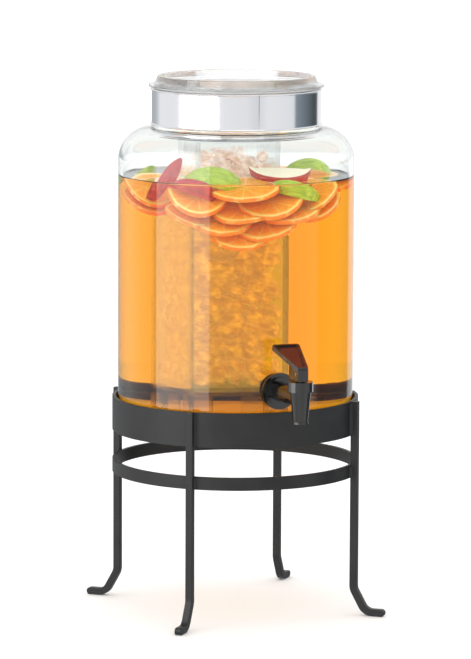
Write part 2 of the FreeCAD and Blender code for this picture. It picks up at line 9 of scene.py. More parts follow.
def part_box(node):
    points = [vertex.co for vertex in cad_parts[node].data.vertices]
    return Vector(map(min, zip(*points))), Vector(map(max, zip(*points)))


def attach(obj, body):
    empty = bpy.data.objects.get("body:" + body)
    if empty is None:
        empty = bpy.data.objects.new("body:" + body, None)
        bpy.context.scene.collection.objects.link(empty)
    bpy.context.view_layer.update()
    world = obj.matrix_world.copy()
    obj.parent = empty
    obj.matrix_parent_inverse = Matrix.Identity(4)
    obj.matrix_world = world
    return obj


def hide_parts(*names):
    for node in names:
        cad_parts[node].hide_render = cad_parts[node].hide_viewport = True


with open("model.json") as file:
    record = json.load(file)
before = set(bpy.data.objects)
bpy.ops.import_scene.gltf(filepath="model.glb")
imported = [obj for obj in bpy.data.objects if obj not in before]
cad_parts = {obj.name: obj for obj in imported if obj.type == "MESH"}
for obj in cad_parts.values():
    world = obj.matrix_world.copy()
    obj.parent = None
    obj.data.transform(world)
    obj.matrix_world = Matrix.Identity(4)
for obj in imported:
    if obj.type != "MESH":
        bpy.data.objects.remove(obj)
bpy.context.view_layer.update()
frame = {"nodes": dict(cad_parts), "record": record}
cad = frame["nodes"]


# Steel stand: two rolled bands, an inner ledge and four bent square bars, welded together.
# Mild steel, powder coated satin black, so it has a fine pebbled skin and soft highlights.
def paint(code):
    """Linear colour of an sRGB hex value."""
    out = []
    for i in (1, 3, 5):
        c = int(code[i:i + 2], 16) / 255
        out.append(c / 12.92 if c <= 0.04045 else ((c + 0.055) / 1.055) ** 2.4)
    return (*out, 1.0)


def add(tree, kind, inputs=(), **settings):
    """Adds a node with its settings; inputs are (socket, value or output to link)."""
    made = tree.nodes.new(kind)
    for name, value in settings.items():
        setattr(made, name, value)
    for socket, value in inputs:
        if isinstance(value, bpy.types.NodeSocket):
            tree.links.new(value, made.inputs[socket])
        else:
            made.inputs[socket].default_value = value
    return made


def fresh(name):
    """New material with an empty tree, its output and a Principled shader."""
    mat = bpy.data.materials.new(name)
    mat.use_nodes = True
    tree = mat.node_tree
    tree.nodes.clear()
    shader = add(tree, "ShaderNodeBsdfPrincipled")
    add(tree, "ShaderNodeOutputMaterial", [("Surface", shader.outputs["BSDF"])])
    return mat, tree, shader


def ramp(tree, factor, stops):
    """Colour ramp from (place, colour) stops."""
    made = add(tree, "ShaderNodeValToRGB", [("Fac", factor)])
    band = made.color_ramp
    while len(band.elements) < len(stops):
        band.elements.new(0.5)
    for element, (place, colour) in zip(band.elements, stops):
        element.position = place
        element.color = colour
    return made.outputs["Color"]


def dress(nodes, mat):
    """Gives CAD nodes one material."""
    for name in nodes:
        cad[name].data.materials.clear()
        cad[name].data.materials.append(mat)


powder_coat, t, shader = fresh("satin_black_powder_coat")
where = add(t, "ShaderNodeTexCoord").outputs["Object"]
pebble = add(t, "ShaderNodeTexNoise", [("Vector", where), ("Scale", 900.0), ("Detail", 3.0)])
cloud = add(t, "ShaderNodeTexNoise", [("Vector", where), ("Scale", 35.0), ("Detail", 4.0)])
colour = ramp(t, cloud.outputs["Fac"], [(0.35, paint("#19191a")), (0.65, paint("#222223"))])
gloss = add(t, "ShaderNodeMapRange", [("Value", cloud.outputs["Fac"]), ("From Min", 0.3), ("From Max", 0.7),
                                      ("To Min", 0.40), ("To Max", 0.52)])
skin = add(t, "ShaderNodeBump", [("Height", pebble.outputs["Fac"]), ("Strength", 0.25), ("Distance", 0.0002)])
t.links.new(colour, shader.inputs["Base Color"])
t.links.new(gloss.outputs["Result"], shader.inputs["Roughness"])
t.links.new(skin.outputs["Normal"], shader.inputs["Normal"])
shader.inputs["Specular IOR Level"].default_value = 0.35
stand_nodes = frame["record"]["behaviour"]["bodies"]["stand"]
dress(stand_nodes, powder_coat)


# Glass jar: clear soda-lime glass, blown in a mould, with a thick base and a ground rim.
# A trace of iron tints it, and the mould leaves a very slight ripple.
def settle(bm, name, mat, smooth=True):
    """Turns a bmesh into an object at the origin, with its material."""
    mesh = bpy.data.meshes.new(name)
    bm.to_mesh(mesh)
    bm.free()
    for face in mesh.polygons:
        face.use_smooth = smooth
    if smooth:
        mesh.set_sharp_from_angle(angle=math.radians(40))
    for one in (mat if isinstance(mat, list) else [mat]):
        mesh.materials.append(one)
    made = bpy.data.objects.new(name, mesh)
    bpy.context.scene.collection.objects.link(made)
    return made


def arc(across, height, radius, start, end, steps):
    """Points along an arc in the XZ plane, angles in degrees."""
    turns = [math.radians(start + (end - start) * i / steps) for i in range(steps + 1)]
    return [(across + radius * math.cos(a), 0, height + radius * math.sin(a)) for a in turns]


def lathe(profile, steps):
    """Closed or open outline spun once round the jar's axis."""
    bm = bmesh.new()
    verts = [bm.verts.new(p) for p in profile]
    edges = [bm.edges.new(pair) for pair in zip(verts, verts[1:])]
    bmesh.ops.spin(bm, geom=verts + edges, cent=(0, 0, 0), axis=(0, 0, 1), angle=math.tau, steps=steps,
                   use_merge=True)
    bmesh.ops.remove_doubles(bm, verts=bm.verts, dist=1e-6)
    return bm


def let_light_in(tree, shader):
    """Scattered light and lamp rays pass a clear wall unbent, so what stands inside is lit."""
    through = add(tree, "ShaderNodeBsdfTransparent").outputs["BSDF"]
    kind = add(tree, "ShaderNodeLightPath")
    first = add(tree, "ShaderNodeMixShader",
                [(0, kind.outputs["Is Diffuse Ray"]), (1, shader.outputs["BSDF"]), (2, through)])
    both = add(tree, "ShaderNodeMixShader",
               [(0, kind.outputs["Is Shadow Ray"]), (1, first.outputs[0]), (2, through)])
    end = [n for n in tree.nodes if n.type == "OUTPUT_MATERIAL"][0]
    tree.links.new(both.outputs[0], end.inputs["Surface"])


jar_glass, t, shader = fresh("clear_soda_lime_glass")
where = add(t, "ShaderNodeTexCoord").outputs["Object"]
ripple = add(t, "ShaderNodeTexNoise", [("Vector", where), ("Scale", 22.0), ("Detail", 1.0)])
wave = add(t, "ShaderNodeBump", [("Height", ripple.outputs["Fac"]), ("Strength", 0.06), ("Distance", 0.001)])
t.links.new(wave.outputs["Normal"], shader.inputs["Normal"])
shader.inputs["Base Color"].default_value = paint("#f8fbfa")
shader.inputs["Roughness"].default_value = 0.0
shader.inputs["IOR"].default_value = 1.5
shader.inputs["Transmission Weight"].default_value = 1.0
let_light_in(t, shader)
# Drink and glass bend light almost alike, so the wetted inside reflects next to nothing.
wet_glass = jar_glass.copy()
wet_glass.name = "wet_inside_of_glass"
for node in wet_glass.node_tree.nodes:
    if node.type == "BSDF_PRINCIPLED":
        node.inputs["Specular Tint"].default_value = (0, 0, 0, 1)
dress(["jar_base", "jar_side", "jar_shoulder", "jar_neck"], jar_glass)
# Sizes in metres, heights above the floor that the stand is on.
JAR_R = 0.105
JAR_WALL = 0.004
JAR_BASE = 0.177
JAR_FLOOR = 0.185
FOOT_R = 0.006
HEEL_R = 0.008
SHOULDER = 0.403
SHOULDER_R = 0.0295
NECK_R = 0.0743
NECK_FOOT = 0.43449
RIM = 0.46699
LIP_R = 0.0014
TAP_AT = 0.211
TAP_HOLE = 0.008
DRINK_TOP = 0.389
inside = JAR_R - JAR_WALL
neck_in = NECK_R - JAR_WALL
bend = JAR_R - SHOULDER_R
rows = [JAR_FLOOR + HEEL_R, 0.198]
rows += [TAP_AT - TAP_HOLE + 0.002 * i for i in range(9)]
rows += [0.226, 0.25, 0.29, 0.33, 0.37, 0.396]
outline = [(0, 0, JAR_BASE + 0.002), (0.05, 0, JAR_BASE + 0.002), (0.082, 0, JAR_BASE + 0.002)]
outline += [(0.084, 0, JAR_BASE), (0.092, 0, JAR_BASE)]
outline += arc(JAR_R - FOOT_R, JAR_BASE + FOOT_R, FOOT_R, -90, 0, 8)
outline += [(JAR_R, 0, z) for z in rows]
outline += arc(bend, SHOULDER, SHOULDER_R, 0, 88.5, 20)
outline += arc(NECK_R + 0.002, NECK_FOOT, 0.002, 268.5, 180, 6)
outline += [(NECK_R, 0, z) for z in (0.437, 0.45, 0.4645)]
outline += arc(NECK_R - LIP_R, RIM - LIP_R, LIP_R, 0, 90, 5)
outline += arc(neck_in + LIP_R, RIM - LIP_R, LIP_R, 90, 180, 5)
outline += [(neck_in, 0, z) for z in (0.4645, 0.45, 0.439)]
outline += arc(neck_in + 0.005, 0.4335, 0.005, 180, 270.4, 8)
outline += arc(bend, SHOULDER, SHOULDER_R - JAR_WALL, 90, 0, 20)
outline += [(inside, 0, z) for z in reversed(rows[1:])]
outline += arc(inside - HEEL_R, JAR_FLOOR + HEEL_R, HEEL_R, 0, -90, 10)
outline += [(0.085, 0, JAR_FLOOR), (0.04, 0, JAR_FLOOR), (0, 0, JAR_FLOOR)]
bm = lathe(outline, 160)
hit = [f for f in bm.faces if f.calc_center_median().y < 0 and abs(f.calc_center_median().x) < TAP_HOLE
       and abs(f.calc_center_median().z - TAP_AT) < TAP_HOLE]
bmesh.ops.delete(bm, geom=hit, context="FACES")
rim = [e for e in bm.edges if e.is_boundary]
for v in {v for e in rim for v in e.verts}:
    reach = v.co.xy.length
    away = Vector((v.co.x, 0, v.co.z - TAP_AT)).normalized() * TAP_HOLE
    v.co = (away.x, -math.sqrt(reach * reach - away.x * away.x), TAP_AT + away.z)
bmesh.ops.bridge_loops(bm, edges=rim)
bmesh.ops.recalc_face_normals(bm, faces=bm.faces)
jar = settle(bm, "jar", [jar_glass, wet_glass])
for face in jar.data.polygons:
    at = face.center
    face.material_index = int(at.xy.length < inside + 0.0005 and JAR_FLOOR - 0.001 < at.z < DRINK_TOP)
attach(jar, "jar")
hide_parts("jar_base", "jar_side", "jar_shoulder", "jar_neck")


# Collar: a thin stainless band with rolled edges, polished bright, closed at one upright seam.
# Rolling leaves faint lines round it.
bright_steel, t, shader = fresh("polished_stainless_steel")
where = add(t, "ShaderNodeTexCoord").outputs["Object"]
grain_map = add(t, "ShaderNodeMapping", [("Vector", where), ("Scale", (3.0, 3.0, 700.0))])
grain = add(t, "ShaderNodeTexNoise",
            [("Vector", grain_map.outputs["Vector"]), ("Scale", 1.0), ("Detail", 2.0)])
gloss = add(t, "ShaderNodeMapRange", [("Value", grain.outputs["Fac"]), ("To Min", 0.07), ("To Max", 0.16)])
lines = add(t, "ShaderNodeBump", [("Height", grain.outputs["Fac"]), ("Strength", 0.08), ("Distance", 0.0001)])
shader.inputs["Base Color"].default_value = paint("#e3e4e8")
shader.inputs["Metallic"].default_value = 1.0
t.links.new(gloss.outputs["Result"], shader.inputs["Roughness"])
t.links.new(lines.outputs["Normal"], shader.inputs["Normal"])
dress(["neck_collar"], bright_steel)


# Lid: clear styrene, injection moulded, lying loose on a thin clear silicone ring.
# It has the faint haze and flow marks of moulded plastic.
lid_plastic, t, shader = fresh("clear_moulded_styrene")
where = add(t, "ShaderNodeTexCoord").outputs["Object"]
haze = add(t, "ShaderNodeTexNoise", [("Vector", where), ("Scale", 60.0), ("Detail", 3.0)])
gloss = add(t, "ShaderNodeMapRange", [("Value", haze.outputs["Fac"]), ("To Min", 0.0), ("To Max", 0.05)])
t.links.new(gloss.outputs["Result"], shader.inputs["Roughness"])
shader.inputs["Base Color"].default_value = paint("#f4f6f8")
shader.inputs["IOR"].default_value = 1.55
shader.inputs["Alpha"].default_value = 0.7
shader.inputs["Transmission Weight"].default_value = 1.0
let_light_in(t, shader)
dress(["lid"], lid_plastic)

silicone, t, shader = fresh("clear_silicone_rubber")
where = add(t, "ShaderNodeTexCoord").outputs["Object"]
cloud = add(t, "ShaderNodeTexNoise", [("Vector", where), ("Scale", 120.0)])
t.links.new(ramp(t, cloud.outputs["Fac"], [(0.3, paint("#c9c9c4")), (0.7, paint("#dadad6"))]),
            shader.inputs["Base Color"])
shader.inputs["Roughness"].default_value = 0.4
shader.inputs["Transmission Weight"].default_value = 0.6
dress(["lid_seal", "seat_cup"], silicone)


# Ice chamber: five panels of clear acrylic sheet, sawn and glued, with a notch between the feet.
# The sheet is polished, with a faint haze of roughness that varies over it.
acrylic, t, shader = fresh("clear_acrylic_sheet")
where = add(t, "ShaderNodeTexCoord").outputs["Object"]
haze = add(t, "ShaderNodeTexNoise", [("Vector", where), ("Scale", 45.0), ("Detail", 2.0)])
gloss = add(t, "ShaderNodeMapRange", [("Value", haze.outputs["Fac"]), ("To Min", 0.0), ("To Max", 0.03)])
t.links.new(gloss.outputs["Result"], shader.inputs["Roughness"])
shader.inputs["Base Color"].default_value = paint("#f5f8f8")
shader.inputs["IOR"].default_value = 1.49
shader.inputs["Alpha"].default_value = 0.55
shader.inputs["Specular Tint"].default_value = (0.3, 0.3, 0.3, 1)
shader.inputs["Transmission Weight"].default_value = 1.0
let_light_in(t, shader)
dress(frame["record"]["behaviour"]["bodies"]["ice_chamber"], acrylic)


# Tap: body, bonnet, lock nut and lever are moulded in glossy black ABS; the gaskets are rubber.
# Moulded black plastic shows a deep shine with a faint waviness.
black_abs, t, shader = fresh("glossy_black_abs")
where = add(t, "ShaderNodeTexCoord").outputs["Object"]
flow = add(t, "ShaderNodeTexNoise", [("Vector", where), ("Scale", 130.0), ("Detail", 2.0)])
wave = add(t, "ShaderNodeBump", [("Height", flow.outputs["Fac"]), ("Strength", 0.12), ("Distance", 0.0004)])
gloss = add(t, "ShaderNodeMapRange", [("Value", flow.outputs["Fac"]), ("To Min", 0.10), ("To Max", 0.2)])
t.links.new(wave.outputs["Normal"], shader.inputs["Normal"])
t.links.new(gloss.outputs["Result"], shader.inputs["Roughness"])
shader.inputs["Base Color"].default_value = paint("#100d0c")
shader.inputs["Coat Weight"].default_value = 0.5
shader.inputs["Coat Roughness"].default_value = 0.05
dress(["tap_body", "tap_bonnet", "lock_nut", "lever"], black_abs)

black_rubber, t, shader = fresh("matt_black_rubber")
where = add(t, "ShaderNodeTexCoord").outputs["Object"]
dust = add(t, "ShaderNodeTexNoise", [("Vector", where), ("Scale", 400.0), ("Detail", 4.0)])
t.links.new(ramp(t, dust.outputs["Fac"], [(0.3, paint("#161616")), (0.7, paint("#262524"))]),
            shader.inputs["Base Color"])
shader.inputs["Roughness"].default_value = 0.75
dress(["outer_gasket", "inner_gasket"], black_rubber)

pin_steel, t, shader = fresh("plain_steel_wire")
where = add(t, "ShaderNodeTexCoord").outputs["Object"]
draw = add(t, "ShaderNodeTexNoise", [("Vector", where), ("Scale", 700.0)])
gloss = add(t, "ShaderNodeMapRange", [("Value", draw.outputs["Fac"]), ("To Min", 0.25), ("To Max", 0.4)])
t.links.new(gloss.outputs["Result"], shader.inputs["Roughness"])
shader.inputs["Base Color"].default_value = paint("#b9b9b6")
shader.inputs["Metallic"].default_value = 1.0
dress(["valve_stem", "lever_pin", "tap_spring"], pin_steel)


# Drink: orange fruit tea that fills the jar round the ice chamber and under its floor.
# It wets the glass, so its edge climbs a little at the wall.
room_low, room_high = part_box("chamber_floor")
WET = 0.0002
CHAMBER_AT = Vector((-0.0062, 0.0023, 0))
CHAMBER_TURN = math.radians(-6.8)
CHAMBER_HALF = 0.0375
CHAMBER_UNDER = room_low.z
wall = inside + WET
bed = JAR_FLOOR - WET
outline = [(0.0, 0, bed), (0.04, 0, bed), (wall - 0.016, 0, bed)]
outline += arc(wall - HEEL_R, bed + HEEL_R, HEEL_R, -90, 0, 8)
outline += [(wall, 0, z) for z in (0.20, 0.25, 0.32)]
outline += [(wall, 0, DRINK_TOP + up) for up in (-0.004, -0.001, 0.001, 0.0016)]
outline += [(wall - 0.0007, 0, DRINK_TOP + 0.0008), (wall - 0.0018, 0, DRINK_TOP + 0.0002),
            (wall - 0.004, 0, DRINK_TOP)]
bm = lathe(outline, 160)
shore = [e for e in bm.edges if e.is_boundary and e.calc_length() > 1e-7]
grip = CHAMBER_HALF - WET
turn = Matrix.Translation(CHAMBER_AT) @ Matrix.Rotation(CHAMBER_TURN, 4, "Z")
signs = ((-1, -1), (1, -1), (1, 1), (-1, 1))
corners = [bm.verts.new(turn @ Vector((grip * x, grip * y, DRINK_TOP))) for x, y in signs]
square = [bm.edges.new((corners[i], corners[(i + 1) % 4])) for i in range(4)]
sunk = bmesh.ops.extrude_edge_only(bm, edges=square)["geom"]
low = [g for g in sunk if isinstance(g, bmesh.types.BMVert)]
bmesh.ops.translate(bm, vec=(0, 0, CHAMBER_UNDER + WET - DRINK_TOP), verts=low)
bmesh.ops.contextual_create(bm, geom=[g for g in sunk if isinstance(g, bmesh.types.BMEdge)])
bmesh.ops.triangle_fill(bm, edges=shore + square, use_beauty=True, normal=(0, 0, 1))
bmesh.ops.recalc_face_normals(bm, faces=bm.faces)

fruit_tea, t, shader = fresh("orange_fruit_tea")
where = add(t, "ShaderNodeTexCoord").outputs["Object"]
swell = add(t, "ShaderNodeTexNoise", [("Vector", where), ("Scale", 30.0), ("Detail", 1.0)])
wave = add(t, "ShaderNodeBump", [("Height", swell.outputs["Fac"]), ("Strength", 0.03), ("Distance", 0.001)])
t.links.new(wave.outputs["Normal"], shader.inputs["Normal"])
shader.inputs["Base Color"].default_value = paint("#ffffff")
shader.inputs["Roughness"].default_value = 0.0
shader.inputs["IOR"].default_value = 1.33
shader.inputs["Specular Tint"].default_value = (0, 0, 0, 1)
shader.inputs["Transmission Weight"].default_value = 1.0
soak = add(t, "ShaderNodeVolumeAbsorption", [("Color", (0.999, 0.843, 0.175, 1.0)), ("Density", 40.0)])
out = [n for n in t.nodes if n.type == "OUTPUT_MATERIAL"][0]
t.links.new(soak.outputs["Volume"], out.inputs["Volume"])
let_light_in(t, shader)
drink = settle(bm, "drink", fruit_tea)
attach(drink, "jar")


# Orange slices: whole fruit cut across in discs about 4 mm thick, floating at the top.
# Rind, white pith, and ten wedges of pulp with pale skins between them.
AHEAD = Vector((-0.350, -0.937, 0))
RIGHT = Vector((0.937, -0.350, 0))
PATTERN_R = 28.6  # radius of the slice that the pattern is drawn for, in millimetres


def afloat(right, ahead, height):
    """Point in the jar, from how far right of the axis and ahead of it, in millimetres."""
    return RIGHT * right / 1000 + AHEAD * ahead / 1000 + Vector((0, 0, height / 1000))


def leaning(lean, roll, spin):
    """Turn that lays a piece flat, tips its top face ahead by lean, to the right by roll, in degrees."""
    basis = Matrix((RIGHT, -AHEAD, Vector((0, 0, 1)))).transposed().to_4x4()
    return (basis @ Matrix.Rotation(math.radians(lean), 4, "X") @ Matrix.Rotation(math.radians(roll), 4, "Y")
            @ Matrix.Rotation(math.radians(spin), 4, "Z"))


def slice_of_orange(bm, local, radius, place, turn, seed):
    """One disc with rounded rims, dished a little; its own coordinates are kept for the pattern."""
    rng = random.Random(seed)
    thick = rng.uniform(0.0034, 0.0044)
    ring = bmesh.ops.create_circle(bm, cap_ends=True, cap_tris=False, segments=72, radius=radius)["verts"]
    face = ring[0].link_faces[0]
    made = bmesh.ops.extrude_face_region(bm, geom=[face])["geom"]
    tops = [g for g in made if isinstance(g, bmesh.types.BMVert)]
    bmesh.ops.translate(bm, vec=(0, 0, thick), verts=tops)
    top_face = [g for g in made if isinstance(g, bmesh.types.BMFace)][0]
    under = face if face.is_valid else None
    caps = [f for f in (top_face, under) if f]
    rims = {e for f in caps for e in f.edges}
    bmesh.ops.bevel(bm, geom=list(rims), offset=0.0006, segments=3, profile=0.5, affect="EDGES", material=-1)
    whole = {v for v in bm.verts if v[local].length == 0.0}
    big = [f for f in bm.faces if len(f.verts) > 20 and f.verts[0] in whole]
    for f in big:
        bmesh.ops.inset_region(bm, faces=[f], thickness=radius * 0.3, depth=0)
    big = [f for f in bm.faces if len(f.verts) > 20 and f.verts[0] in whole]
    for f in big:
        bmesh.ops.poke(bm, faces=[f])
    fresh_verts = [v for v in bm.verts if v[local].length == 0.0]
    bow = rng.uniform(-0.004, 0.004)
    grow = PATTERN_R / radius
    for v in fresh_verts:
        v[local] = (v.co.x * grow, v.co.y * grow, v.co.z * 1000 + 50.0 + 100.0 * seed)
        v.co.z += bow * ((v.co.x * v.co.x - v.co.y * v.co.y * 0.5) / (radius * radius))
    bmesh.ops.transform(bm, matrix=Matrix.Translation(place) @ turn, verts=fresh_verts)


bm = bmesh.new()
local = bm.verts.layers.float_vector.new("cut")
SLICES = [  # right, ahead, height, radius, lean, roll, spin
    (-68, 24, 378, 25, 26, 10, 10),
    (-32, 68, 374, 25, 27, 4, 0),
    (7, 69, 382, 28, 14, -2, 25),
    (60, 43, 376, 25, 30, -8, 60),
    (28, 66, 370, 27, 22, -4, 15),
    (44, 58, 363, 26, 24, -6, 80),
    (6, 70, 365, 26, 20, 2, 35),
    (-36, 66, 361, 23, 24, 4, 40),
    (-12, 70, 356, 25, 24, 4, 70),
    (24, 66, 352, 26, 26, -4, 50),
    (4, 70, 344, 25, 28, 0, 5),
    (62, 40, 366, 25, 26, -6, 10),
    (-70, 22, 368, 24, 22, 8, 35),
    (-36, -64, 381, 28, 8, 6, 20),
    (28, -70, 380, 27, 10, -4, 55),
    (66, -20, 379, 27, 10, -10, 15),
    (-4, -72, 372, 27, 12, 0, 75),
]
for i, (right, ahead, height, radius, lean, roll, spin) in enumerate(SLICES):
    slice_of_orange(bm, local, radius / 1000, afloat(right, ahead, height), leaning(lean, roll, spin), i + 1)
bmesh.ops.recalc_face_normals(bm, faces=bm.faces)

cut_orange, t, shader = fresh("cut_orange_fruit")
own = add(t, "ShaderNodeAttribute", attribute_name="cut")
part = add(t, "ShaderNodeSeparateXYZ", [("Vector", own.outputs["Vector"])])
flat = add(t, "ShaderNodeCombineXYZ", [("X", part.outputs["X"]), ("Y", part.outputs["Y"])])
wobble = add(t, "ShaderNodeTexNoise", [("Vector", own.outputs["Vector"]), ("Scale", 0.12), ("Detail", 2.0)])
reach = add(t, "ShaderNodeVectorMath", [(0, flat.outputs["Vector"])], operation="LENGTH").outputs["Value"]
angle = add(t, "ShaderNodeMath", [(0, part.outputs["Y"]), (1, part.outputs["X"])],
            operation="ARCTAN2").outputs["Value"]
stray = add(t, "ShaderNodeMath", [(0, wobble.outputs["Fac"]), (1, 0.35), (2, angle)],
            operation="MULTIPLY_ADD").outputs["Value"]
turns = add(t, "ShaderNodeMath", [(0, stray), (1, 10 / math.tau)], operation="MULTIPLY").outputs["Value"]
share = add(t, "ShaderNodeMath", [(0, turns)], operation="FRACT").outputs["Value"]
middle = add(t, "ShaderNodeMath", [(0, share), (1, 0.5)], operation="SUBTRACT").outputs["Value"]
side = add(t, "ShaderNodeMath", [(0, middle)], operation="ABSOLUTE").outputs["Value"]
away = add(t, "ShaderNodeMath", [(0, 0.5), (1, side)], operation="SUBTRACT").outputs["Value"]
gap = add(t, "ShaderNodeMath", [(0, away), (1, reach)], operation="MULTIPLY").outputs["Value"]
skin_line = add(t, "ShaderNodeMapRange",
                [("Value", gap), ("From Min", 0.5), ("From Max", 1.4), ("To Min", 1.0), ("To Max", 0.0)],
                interpolation_type="SMOOTHSTEP").outputs["Result"]
core = add(t, "ShaderNodeMapRange",
           [("Value", reach), ("From Min", 1.6), ("From Max", 3.0), ("To Min", 1.0),
            ("To Max", 0.0)]).outputs["Result"]
pale = add(t, "ShaderNodeMath", [(0, skin_line), (1, core)], operation="MAXIMUM").outputs["Value"]
round_at = add(t, "ShaderNodeMath", [(0, wobble.outputs["Fac"]), (1, 1.6), (2, reach)],
               operation="MULTIPLY_ADD").outputs["Value"]
drawn_out = add(t, "ShaderNodeMath", [(0, reach), (1, 0.16)], operation="MULTIPLY").outputs["Value"]
beads = add(t, "ShaderNodeCombineXYZ", [("X", turns), ("Y", drawn_out)])
sacs = add(t, "ShaderNodeTexVoronoi", [("Vector", beads.outputs["Vector"]), ("Scale", 4.0)])
pulp = ramp(t, sacs.outputs["Distance"],
            [(0.0, paint("#ffc050")), (0.5, paint("#ffae38")), (0.9, paint("#fb9c22"))])
flesh = add(t, "ShaderNodeMix", [("Factor", pale), ("A", pulp), ("B", paint("#ffcf80"))], data_type="RGBA")
pith_in = add(t, "ShaderNodeMapRange",
              [("Value", round_at), ("From Min", 25.2), ("From Max", 26.0)]).outputs["Result"]
with_pith = add(t, "ShaderNodeMix", [("Factor", pith_in), ("A", flesh.outputs[2]), ("B", paint("#ffdf9f"))],
                data_type="RGBA")
rind_in = add(t, "ShaderNodeMapRange",
              [("Value", round_at), ("From Min", 28.9), ("From Max", 29.3)]).outputs["Result"]
with_rind = add(t, "ShaderNodeMix",
                [("Factor", rind_in), ("A", with_pith.outputs[2]), ("B", paint("#fb8a12"))], data_type="RGBA")
pores = add(t, "ShaderNodeTexVoronoi", [("Vector", own.outputs["Vector"]), ("Scale", 0.9)])
swell = add(t, "ShaderNodeMix",
            [("Factor", rind_in), ("A", sacs.outputs["Distance"]), ("B", pores.outputs["Distance"])],
            data_type="FLOAT")
bumps = add(t, "ShaderNodeBump", [("Height", swell.outputs[0]), ("Strength", 0.5), ("Distance", 0.0006)])
t.links.new(with_rind.outputs[2], shader.inputs["Base Color"])
t.links.new(bumps.outputs["Normal"], shader.inputs["Normal"])
shader.inputs["Roughness"].default_value = 0.35
shader.inputs["Subsurface Weight"].default_value = 0.35
shader.inputs["Subsurface Radius"].default_value = (0.008, 0.004, 0.001)
shader.inputs["Subsurface Scale"].default_value = 1.0
slices = settle(bm, "orange_slices", cut_orange)
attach(slices, "jar")


# Apple wedges: thin crescents cut from red and green apples, cored, floating with the slices.
# Waxy skin on the round side, and pale wet flesh on the two cuts.
def wedge_of_apple(bm, own, radius, open_by, place, turn, seed):
    """Crescent: an apple's outline spun through a small angle, with flat cuts."""
    start = set(bm.verts)
    outline = []
    for i in range(15):
        a = math.radians(-82 + 164 * i / 14)
        outline.append((radius * math.cos(a) * (1.0 + 0.06 * math.sin(a)), 0, radius * 0.92 * math.sin(a)))
    for i in range(9):
        a = math.radians(78 - 156 * i / 8)
        outline.append((radius * (0.30 - 0.10 * math.cos(a)), 0, radius * 0.72 * math.sin(a)))
    verts = [bm.verts.new(p) for p in outline]
    cut = bm.faces.new(verts)
    made = bmesh.ops.spin(bm, geom=[cut], cent=(0, 0, 0), axis=(0, 0, 1), angle=math.radians(open_by),
                          steps=7)
    mine = [v for v in bm.verts if v not in start]
    bmesh.ops.rotate(bm, verts=mine, cent=(0, 0, 0),
                     matrix=Matrix.Rotation(math.radians(-open_by / 2), 3, "Z"))
    for v in mine:
        v[own] = (v.co.x * 1000, v.co.y * 1000, v.co.z * 1000 + 200.0 * seed)
    bmesh.ops.translate(bm, verts=mine, vec=(-radius * 0.65, 0, 0))
    for f in {f for v in mine for f in v.link_faces}:
        out = f.calc_center_median() + Vector((radius * 0.65, 0, 0))
        reach = Vector((out.x, out.y, out.z / 0.92)).length
        f.material_index = 0 if len(f.verts) == 4 and reach > radius * 0.93 else 1
    bmesh.ops.transform(bm, matrix=Matrix.Translation(place) @ turn, verts=mine)


apple_flesh, t, shader = fresh("cut_apple_flesh")
own = add(t, "ShaderNodeAttribute", attribute_name="cut")
grain = add(t, "ShaderNodeTexNoise", [("Vector", own.outputs["Vector"]), ("Scale", 0.5), ("Detail", 5.0)])
t.links.new(ramp(t, grain.outputs["Fac"], [(0.3, paint("#f6ecc4")), (0.7, paint("#fff8e0"))]),
            shader.inputs["Base Color"])
bumps = add(t, "ShaderNodeBump", [("Height", grain.outputs["Fac"]), ("Strength", 0.3), ("Distance", 0.0004)])
t.links.new(bumps.outputs["Normal"], shader.inputs["Normal"])
shader.inputs["Roughness"].default_value = 0.3
shader.inputs["Subsurface Weight"].default_value = 0.3
shader.inputs["Subsurface Radius"].default_value = (0.006, 0.005, 0.003)
shader.inputs["Subsurface Scale"].default_value = 1.0

for name, low_c, high_c, stripe, wedges in (
        ("red_apple", "#8a0d18", "#bf2228", "#d65a44", [
            (-60, 48, 388, 24, 34, 10, 28, -100),
            (-34, 76, 384, 24, 34, 0, 108, -110),
            (38, 50, 391, 30, 34, 0, 91, -58),
            (-10, -64, 389, 29, 32, 0, 84, -120)]),
        ("green_apple", "#86a821", "#acc737", "#cbdd68", [
            (-17, 63, 389, 32, 36, 0, 106, -128),
            (48, 62, 382, 25, 34, 0, 104, -112),
            (62, -18, 392, 27, 34, 0, 84, -140),
            (-84, -12, 386, 15, 40, 0, 50, -95)])):
    bm = bmesh.new()
    own_layer = bm.verts.layers.float_vector.new("cut")
    for i, (right, ahead, height, radius, open_by, lean, roll, spin) in enumerate(wedges):
        wedge_of_apple(bm, own_layer, radius / 1000, open_by, afloat(right, ahead, height),
                       leaning(lean, roll, spin), i + 1)
    bmesh.ops.recalc_face_normals(bm, faces=bm.faces)
    apple_skin, t, shader = fresh(name + "_skin")
    own = add(t, "ShaderNodeAttribute", attribute_name="cut")
    along = add(t, "ShaderNodeMapping", [("Vector", own.outputs["Vector"]), ("Scale", (0.5, 0.5, 0.05))])
    streak = add(t, "ShaderNodeTexNoise",
                 [("Vector", along.outputs["Vector"]), ("Scale", 1.0), ("Detail", 4.0)])
    t.links.new(ramp(t, streak.outputs["Fac"],
                     [(0.3, paint(low_c)), (0.55, paint(high_c)), (0.8, paint(stripe))]),
                shader.inputs["Base Color"])
    shader.inputs["Roughness"].default_value = 0.22
    shader.inputs["Coat Weight"].default_value = 0.4
    fruit = settle(bm, name + "_wedges", [apple_skin, apple_flesh])
    for face in fruit.data.polygons:
        face.use_smooth = face.material_index == 0
    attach(fruit, "jar")


